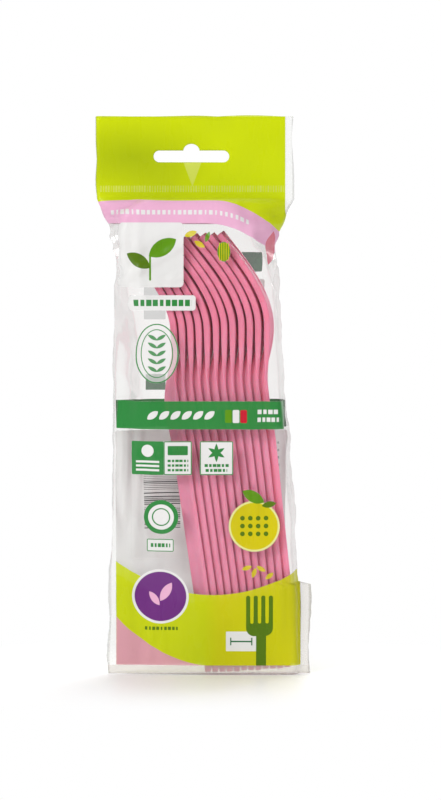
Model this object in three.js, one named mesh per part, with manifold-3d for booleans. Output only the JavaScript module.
// A clear film pack of nested plastic forks, hung by the slot in its header.
// Millimetres, +Z up, front towards -Y. The origin is the centre of the hang slot.
import * as THREE from "three";
import { mergeVertices } from "three/addons/utils/BufferGeometryUtils.js";
import Module from "manifold-3d";

// Fork seen from its face: handle end at zero, tips upwards
const HANDLE_LENGTH = 118; // handle end to the narrowest point of the neck
const HEAD_LENGTH = 62; // neck to tips
const TINE_LENGTH = 28; // slot roots to tips
const TINE_COUNT = 4;
const TINE_TIP = 2.1; // width of one tine at its tip
const TIP_SPREAD = 17.6; // over the outer tine tips
const SLOT_PITCH = 6.2; // between the roots of two slots
const SLOT_ROOT = 1.7; // width of a slot at its root
const END_WIDTH = 5.4;
const NECK_WIDTH = 10.4;
const HEAD_WIDTH = 27;
const WIDEST_BELOW_ROOT = 2; // slot roots down to the widest point of the head

// Fork seen from its side: the hollow of the head faces -X, the handle is a channel open to +X
const PLATE = 2.2; // thickness of the head
const STRAIGHT_LENGTH = 92; // straight stretch of the handle
const NECK_DIP = 0.8; // neck set towards the hollow side
const DIP_HEIGHT = 109;
const BELLY = 8.2; // drop of the head towards its back
const BELLY_HEIGHT = 143;
const TIP_REACH = 7.8; // tips reach towards the hollow side
const TIP_LEAN = 33; // degrees
const CHANNEL_DEPTH = 6.3; // front of the handle to the edges of its flanges
const END_DEPTH = 2.6; // the same at the handle end
const END_RISE = 32; // length over which the end deepens
const FADE_LENGTH = 28; // length over which the channel runs out into the head
const WEB = 1; // front wall of the channel
const FLANGE = 0.75; // side walls of the channel, across the width
const EDGE_SPREAD = 0.35; // front of the head to its back edge, across the width
const FLANGE_SPREAD = 0.5; // added for each unit that a flange is deeper than the head

// Stack of forks, nested in each other and fanned out from the handle ends
const FORK_COUNT = 12;
const FIRST_END = 6.7; // handle end of the leftmost fork, right of the slot centre
const NEST_PITCH = 2.95; // between neighbouring handle ends
const FIRST_LEAN = 8.15; // degrees, leftmost fork
const LEAN_STEP = 0.177; // degrees from one fork to the next

// Film bag: header above, pouch below
const FILM = 0.3; // one layer
const FILM_GAP = 0.5; // clearance between film and forks
const HEADER_WIDTH = 81;
const HEADER_SHIFT = 1.2; // header centre, right of the slot centre
const HEADER_ABOVE = 16.4; // slot centre to the top edge
const HEADER_BELOW = 17.6; // slot centre to the foot of the header
const HEAD_ROOM = 14; // header foot to the highest tip
const WELD = 1; // width of the side welds
const WAIST_DROP = 20.4; // header foot to where the pouch is drawn in most
const WAIST_LEFT = 30.8; // side welds there, from the slot centre
const WAIST_RIGHT = 33.3;
const FOOT_LEFT = 34.2; // side welds at the bottom fold
const FOOT_RIGHT = 44;
const WELD_CLEARANCE = 1.6; // least distance from the stack to a side weld
const CORNER_REACH = 3; // film rounding over the edges of the stack
const EAR_WIDTH = 4.5; // weld margin that stands out at the lower right corner
const EAR_HEIGHT = 37;
const VENT_DIAMETER = 3;
const VENT_INSET = 11; // rear vents, from the left weld
const VENT_HEIGHTS = [62, 112]; // above the bottom fold

// Hang slot
const SLOT_LENGTH = 30.8;
const SLOT_HEIGHT = 4.8;
const NOTCH_WIDTH = 6.6; // rise in the middle of the slot
const NOTCH_HEIGHT = 2.9;

// Fineness of curves
const CURVE_STEPS = 6;
const TIP_STEPS = 3;
const FILM_CORNER_STEPS = 3;
const POUCH_STEPS = 11;
const SHOULDER_STEPS = 3;
const STACK_SAMPLES = 60;

const CUT_MARGIN = 1; // tools reach this far past what they cut
const FORK_COLOUR = "#e2869f";
const FILM_COLOUR = "#dfe4e2";

const wasm = await Module();
wasm.setup();

function solidOf(geometry) {
  const bare = geometry.clone();
  bare.deleteAttribute("normal");
  bare.deleteAttribute("uv");
  const merged = mergeVertices(bare);
  const mesh = new wasm.Mesh({
    numProp: 3,
    vertProperties: new Float32Array(merged.attributes.position.array),
    triVerts: new Uint32Array(merged.index.array),
  });
  return new wasm.Manifold(mesh);
}

function geometryOf(solid) {
  const mesh = solid.getMesh();
  const geometry = new THREE.BufferGeometry();
  geometry.setAttribute("position", new THREE.BufferAttribute(mesh.vertProperties, 3));
  geometry.setIndex(new THREE.BufferAttribute(mesh.triVerts, 1));
  geometry.computeVertexNormals();
  return geometry;
}

// Shapes drawn in the XZ plane, extruded along Y and centred on it.
function extrudeAlongY(shape, depth, steps) {
  const geometry = new THREE.ExtrudeGeometry(shape, { depth, bevelEnabled: false, curveSegments: steps });
  geometry.translate(0, 0, -depth / 2);
  geometry.rotateX(Math.PI / 2);
  return geometry;
}

// Shapes drawn in the YZ plane, extruded along X and centred on it.
function extrudeAlongX(shape, depth, steps) {
  const geometry = new THREE.ExtrudeGeometry(shape, { depth, bevelEnabled: false, curveSegments: steps });
  geometry.translate(0, 0, -depth / 2);
  const axes = [new THREE.Vector3(0, 1, 0), new THREE.Vector3(0, 0, 1), new THREE.Vector3(1, 0, 0)];
  geometry.applyMatrix4(new THREE.Matrix4().makeBasis(...axes));
  return geometry;
}

// Closed skin through a row of rings of equal count, with the same triangles over both ends.
function skinGeometry(rings, caps) {
  const count = rings[0].length;
  const last = (rings.length - 1) * count;
  const positions = rings.flatMap((ring) => ring.flatMap((point) => point.toArray()));
  const index = [];
  for (const [a, b, c] of caps) {
    index.push(a, c, b, last + a, last + b, last + c);
  }
  for (let low = 0; low < last; low += count) {
    const high = low + count;
    for (let i = 0; i < count; i += 1) {
      const next = (i + 1) % count;
      index.push(low + i, low + next, high + next, low + i, high + next, high + i);
    }
  }
  const geometry = new THREE.BufferGeometry();
  geometry.setAttribute("position", new THREE.Float32BufferAttribute(positions, 3));
  geometry.setIndex(index);
  return geometry;
}

const lerp = THREE.MathUtils.lerp;
const forkLength = HANDLE_LENGTH + HEAD_LENGTH;
const rootHeight = forkLength - TINE_LENGTH;
const widestHeight = rootHeight - WIDEST_BELOW_ROOT;

// Middle line of the fork in its side view, half a head's thickness behind its front.
function sideCurve() {
  const lean = THREE.MathUtils.degToRad(TIP_LEAN);
  const point = (x, y) => new THREE.Vector2(x, y);
  const end = point(0, 0);
  const bend = point(0, STRAIGHT_LENGTH);
  const dip = point(-NECK_DIP, DIP_HEIGHT);
  const belly = point(BELLY, BELLY_HEIGHT);
  const tip = point(-TIP_REACH, forkLength);
  const third = (low, high) => (high.y - low.y) / 3;
  const raised = (from, rise) => point(from.x, from.y + rise);
  const tipPull = third(belly, tip);
  const beforeTip = point(tip.x + tipPull * Math.tan(lean), tip.y - tipPull);
  const rising = (low, high) =>
    new THREE.CubicBezierCurve(low, raised(low, third(low, high)), raised(high, -third(low, high)), high);
  const path = new THREE.CurvePath();
  path.add(rising(end, bend));
  path.add(rising(bend, dip));
  path.add(rising(dip, belly));
  path.add(new THREE.CubicBezierCurve(belly, raised(belly, tipPull), beforeTip, tip));
  return path;
}

// Half the width of the fork at a height above its end, with the tines still uncut.
function halfWidthAt(height) {
  if (height < HANDLE_LENGTH) {
    return lerp(END_WIDTH, NECK_WIDTH, height / HANDLE_LENGTH) / 2;
  }
  const swell = THREE.MathUtils.smoothstep(height, HANDLE_LENGTH, widestHeight);
  return lerp(NECK_WIDTH, HEAD_WIDTH, swell) / 2;
}

// How far the channel has run out into the plain head: none in the handle, all in the head.
const fadeAt = (height) => THREE.MathUtils.smoothstep(height, DIP_HEIGHT, DIP_HEIGHT + FADE_LENGTH);

// Front of the fork to the edges of its flanges.
function depthAt(height) {
  const short = Math.max(1 - height / END_RISE, 0);
  const channel = lerp(CHANNEL_DEPTH, END_DEPTH, short ** 2);
  return lerp(channel, PLATE, fadeAt(height));
}

// Section across the fork: a channel in the handle, a plain plate in the head.
function forkSection(height) {
  const fade = fadeAt(height);
  const front = -PLATE / 2;
  const back = front + depthAt(height);
  const floor = front + lerp(WEB, PLATE, fade);
  const edge = halfWidthAt(height);
  const spread = EDGE_SPREAD + Math.max(back - front - PLATE, 0) * FLANGE_SPREAD;
  const face = edge - spread;
  const inner = edge - FLANGE;
  const foot = inner - (spread * (back - floor)) / (back - front);
  const half = [[front, face], [back, edge], [back, inner], [floor, foot]];
  const mirrored = half.map(([x, y]) => [x, -y]);
  return [...mirrored, ...half.reverse()].map(([x, y]) => new THREE.Vector2(x, y));
}

// Sections set square to the middle line from the handle end to the tips.
function forkBlank() {
  const line = middleLine.getPoints(CURVE_STEPS);
  const rings = line.map((point, i) => {
    const before = line[Math.max(i - 1, 0)];
    const after = line[Math.min(i + 1, line.length - 1)];
    const along = after.clone().sub(before).normalize();
    return forkSection(point.y).map(
      (p) => new THREE.Vector3(point.x + p.x * along.y, p.y, point.y - p.x * along.x),
    );
  });
  const caps = THREE.ShapeUtils.triangulateShape(forkSection(0), []);
  return skinGeometry(rings, caps);
}

// Window that leaves the tines standing: open below the head, then walked over the tine tips.
function tineWindow() {
  const tipRadius = TINE_TIP / 2;
  const rootRadius = SLOT_ROOT / 2;
  const tipPitch = (TIP_SPREAD - TINE_TIP) / (TINE_COUNT - 1);
  const tipHeight = forkLength - tipRadius;
  const wide = HEAD_WIDTH / 2 + CUT_MARGIN;
  const low = -CUT_MARGIN - CHANNEL_DEPTH;
  const shape = new THREE.Shape();
  shape.moveTo(-wide, low);
  shape.lineTo(-wide, widestHeight);
  shape.lineTo(-HEAD_WIDTH / 2, widestHeight);
  for (let tine = 0; tine < TINE_COUNT; tine += 1) {
    const tipCentre = (tine - (TINE_COUNT - 1) / 2) * tipPitch;
    shape.lineTo(tipCentre - tipRadius, tipHeight);
    shape.absarc(tipCentre, tipHeight, tipRadius, Math.PI, 0, true);
    if (tine < TINE_COUNT - 1) {
      const rootCentre = (tine - (TINE_COUNT - 2) / 2) * SLOT_PITCH;
      shape.lineTo(rootCentre - rootRadius, rootHeight + rootRadius);
      shape.absarc(rootCentre, rootHeight + rootRadius, rootRadius, Math.PI, 2 * Math.PI, false);
    }
  }
  shape.lineTo(HEAD_WIDTH / 2, widestHeight);
  shape.lineTo(wide, widestHeight);
  shape.lineTo(wide, low);
  return shape;
}

const middleLine = sideCurve();

function forkGeometry() {
  const reach = 2 * (TIP_REACH + BELLY + CHANNEL_DEPTH + CUT_MARGIN);
  const blank = solidOf(forkBlank());
  const tines = solidOf(extrudeAlongX(tineWindow(), reach, TIP_STEPS));
  return geometryOf(blank.intersect(tines));
}

const leanOf = (index) => THREE.MathUtils.degToRad(FIRST_LEAN - index * LEAN_STEP);
const endOf = (index) => FIRST_END + index * NEST_PITCH;

// Front and back of every fork in the pack, with heights from the handle ends.
function stackPoints() {
  const points = [];
  for (let index = 0; index < FORK_COUNT; index += 1) {
    const lean = leanOf(index);
    for (const point of middleLine.getSpacedPoints(STACK_SAMPLES)) {
      const middle = endOf(index) + point.x * Math.cos(lean) - point.y * Math.sin(lean);
      points.push({
        front: middle - PLATE / 2,
        back: middle - PLATE / 2 + depthAt(point.y),
        z: point.x * Math.sin(lean) + point.y * Math.cos(lean),
        half: halfWidthAt(point.y),
      });
    }
  }
  return points;
}

const stack = stackPoints();
const stackTop = Math.max(...stack.map((point) => point.z));
const headerFoot = -HEADER_BELOW;
const endHeight = headerFoot - HEAD_ROOM - stackTop - PLATE / 2;
const pouchFoot = endHeight - (PLATE / 2) * Math.sin(leanOf(0)) - FILM_GAP - FILM;
const waistHeight = headerFoot - WAIST_DROP;
const headerLeft = HEADER_SHIFT - HEADER_WIDTH / 2;
const headerRight = HEADER_SHIFT + HEADER_WIDTH / 2;

// Position of a side weld: straight up to the waist, then flaring out to the header.
function weldAt(height, foot, waist, header) {
  if (height <= waistHeight) {
    return lerp(foot, waist, (height - pouchFoot) / (waistHeight - pouchFoot));
  }
  const share = (height - waistHeight) / (headerFoot - waistHeight);
  return lerp(waist, header, share ** 1.5);
}

// Film spans the hollows of what it covers in straight lines.
function spanHollows(heights, values) {
  return values.map((value, k) => {
    let reached = value;
    for (let i = 0; i < k; i += 1) {
      for (let j = k + 1; j < values.length; j += 1) {
        const share = (heights[k] - heights[i]) / (heights[j] - heights[i]);
        reached = Math.max(reached, lerp(values[i], values[j], share));
      }
    }
    return reached;
  });
}

// What the film covers, level by level from the bottom fold to the waist and on to the header.
function filmLevels() {
  const heights = [];
  for (let k = 0; k < POUCH_STEPS; k += 1) {
    heights.push(lerp(pouchFoot, waistHeight, k / POUCH_STEPS));
  }
  for (let k = 0; k <= SHOULDER_STEPS; k += 1) {
    heights.push(lerp(waistHeight, headerFoot, k / SHOULDER_STEPS));
  }
  const reach = FILM_GAP + FILM;
  const window = (waistHeight - pouchFoot) / POUCH_STEPS;
  const covered = heights.filter((height) => height - window < endHeight + stackTop);
  const beside = (height) => stack.filter((point) => Math.abs(point.z + endHeight - height) <= window);
  const near = covered.map(beside);
  const least = (points, side) => Math.min(...points.map((point) => point[side]));
  const most = (points, side) => Math.max(...points.map((point) => point[side]));
  const lefts = spanHollows(covered, near.map((points) => reach - least(points, "front")));
  const rights = spanHollows(covered, near.map((points) => reach + most(points, "back")));
  const depths = near.map((points) => reach + most(points, "half"));
  const spanned = spanHollows([...covered, headerFoot], [...depths, FILM]);
  return heights.map((height, k) => {
    const top = covered.length - 1;
    const share = k <= top ? 0 : (height - covered[top]) / (headerFoot - covered[top]);
    const stackLeft = lerp(-lefts[Math.min(k, top)], headerLeft + CORNER_REACH, share);
    const stackRight = lerp(rights[Math.min(k, top)], headerRight - CORNER_REACH, share);
    const left = weldAt(height, -FOOT_LEFT, -WAIST_LEFT, headerLeft);
    const right = weldAt(height, FOOT_RIGHT, WAIST_RIGHT, headerRight);
    return {
      height,
      stackLeft,
      stackRight,
      left: Math.min(left, stackLeft - WELD_CLEARANCE),
      right: Math.max(right, stackRight + WELD_CLEARANCE),
      depth: k <= top ? spanned[k] : lerp(spanned[top], FILM, share),
    };
  });
}

// One level of the pouch as a closed outline, seen from above and walked anticlockwise.
function filmOutline(level, weld, film) {
  const depth = Math.max(level.depth - film, film / 3);
  const left = new THREE.Vector2(level.left + weld, 0);
  const right = new THREE.Vector2(level.right - weld, 0);
  const corner = (x, y) => new THREE.Vector2(x, y);
  const frontLeft = corner(level.stackLeft, -depth);
  const frontRight = corner(level.stackRight, -depth);
  const rearRight = corner(level.stackRight, depth);
  const rearLeft = corner(level.stackLeft, depth);
  const rounded = (before, tip, after) => {
    const towards = (other) => {
      const reach = Math.min(CORNER_REACH, tip.distanceTo(other) / 3);
      return tip.clone().lerp(other, reach / tip.distanceTo(other));
    };
    const curve = new THREE.QuadraticBezierCurve(towards(before), tip, towards(after));
    return curve.getPoints(FILM_CORNER_STEPS);
  };
  return [
    left,
    ...rounded(left, frontLeft, frontRight),
    ...rounded(frontLeft, frontRight, right),
    right,
    ...rounded(right, rearRight, rearLeft),
    ...rounded(rearRight, rearLeft, left),
  ];
}

function hangSlotShape() {
  const radius = SLOT_HEIGHT / 2;
  const half = SLOT_LENGTH / 2 - radius;
  const notch = NOTCH_WIDTH / 2;
  const shape = new THREE.Shape();
  shape.moveTo(-half, -radius);
  shape.lineTo(half, -radius);
  shape.absarc(half, 0, radius, -Math.PI / 2, Math.PI / 2, false);
  shape.lineTo(notch, radius);
  shape.bezierCurveTo(notch, radius + NOTCH_HEIGHT, -notch, radius + NOTCH_HEIGHT, -notch, radius);
  shape.lineTo(-half, radius);
  shape.absarc(-half, 0, radius, Math.PI / 2, 1.5 * Math.PI, false);
  return shape;
}

function boxBetween(low, high) {
  const size = new THREE.Vector3().subVectors(high, low);
  const geometry = new THREE.BoxGeometry(size.x, size.y, size.z);
  const middle = new THREE.Vector3().addVectors(low, high).multiplyScalar(0.5);
  return solidOf(geometry.translate(middle.x, middle.y, middle.z));
}

// Hole through the rear film only, near the left weld.
function ventTool(height) {
  const left = weldAt(height, -FOOT_LEFT, -WAIST_LEFT, headerLeft);
  const radius = VENT_DIAMETER / 2;
  const geometry = new THREE.CylinderGeometry(radius, radius, HEAD_WIDTH, 2 * CURVE_STEPS);
  return solidOf(geometry.translate(left + VENT_INSET, HEAD_WIDTH / 2, height));
}

function filmBagGeometry() {
  const levels = filmLevels();
  const heights = levels.map((level) => level.height);
  const innerHeights = [pouchFoot + FILM, ...heights.slice(1, -1), headerFoot - FILM];
  const skin = (places, weld, film) => {
    const outlines = levels.map((level) => filmOutline(level, weld, film));
    const rings = outlines.map((outline, k) => outline.map((p) => new THREE.Vector3(p.x, p.y, places[k])));
    return solidOf(skinGeometry(rings, THREE.ShapeUtils.triangulateShape(outlines[0], [])));
  };
  const outer = skin(heights, 0, 0);
  const inner = skin(innerHeights, WELD, FILM);
  const header = boxBetween(
    new THREE.Vector3(headerLeft, -FILM, headerFoot - FILM),
    new THREE.Vector3(headerRight, FILM, HEADER_ABOVE),
  );
  const ear = boxBetween(
    new THREE.Vector3(levels[0].right - 2 * WELD, -FILM, pouchFoot),
    new THREE.Vector3(levels[0].right + EAR_WIDTH, FILM, pouchFoot + EAR_HEIGHT),
  );
  const slot = solidOf(extrudeAlongY(hangSlotShape(), 2 * (FILM + CUT_MARGIN), CURVE_STEPS));
  let bag = outer.add(header).add(ear).subtract(inner).subtract(slot);
  for (const above of VENT_HEIGHTS) {
    bag = bag.subtract(ventTool(pouchFoot + above));
  }
  return geometryOf(bag);
}

function filmBag() {
  const material = new THREE.MeshStandardMaterial({ color: FILM_COLOUR, roughness: 0.12, metalness: 0 });
  material.transparent = true;
  material.opacity = 0.35;
  const mesh = new THREE.Mesh(filmBagGeometry(), material);
  mesh.name = "film_bag";
  return mesh;
}

function forks() {
  const geometry = forkGeometry();
  const group = new THREE.Group();
  for (let index = 0; index < FORK_COUNT; index += 1) {
    const material = new THREE.MeshStandardMaterial({ color: FORK_COLOUR, roughness: 0.4, metalness: 0 });
    const fork = new THREE.Mesh(geometry, material);
    fork.name = `fork_${String(index + 1).padStart(2, "0")}`;
    fork.position.set(endOf(index), 0, endHeight);
    fork.rotation.y = -leanOf(index);
    group.add(fork);
  }
  return group;
}

const pack = new THREE.Group();
pack.name = "fork_pack";
pack.add(filmBag(), forks());

export default pack;
